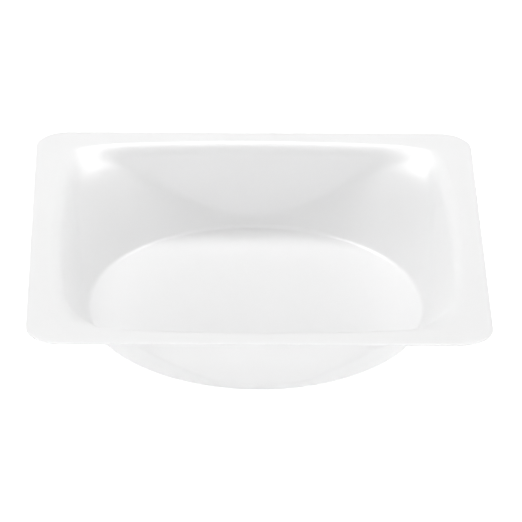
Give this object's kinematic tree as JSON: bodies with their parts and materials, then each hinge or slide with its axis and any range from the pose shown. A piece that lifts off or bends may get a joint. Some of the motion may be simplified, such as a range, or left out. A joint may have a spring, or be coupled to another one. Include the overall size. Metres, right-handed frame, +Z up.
{
  "type": "weighing boat",
  "caption": "Square white weighing boat: a thin thermoformed dish whose round-floored bowl is cut off by drafted walls and rolls out into a flat rim with rounded corners.",
  "frame": {"origin": "centre of the underside of the floor", "axes": "+Z up, square to the floor and the rim; +X and +Y square to the rim's sides"},
  "size_m": [0.14, 0.14, 0.0258],
  "materials": {
    "sheet": "satin"
  },
  "bodies": {
    "root": {"boat": "sheet"}
  },
  "joints": []
}
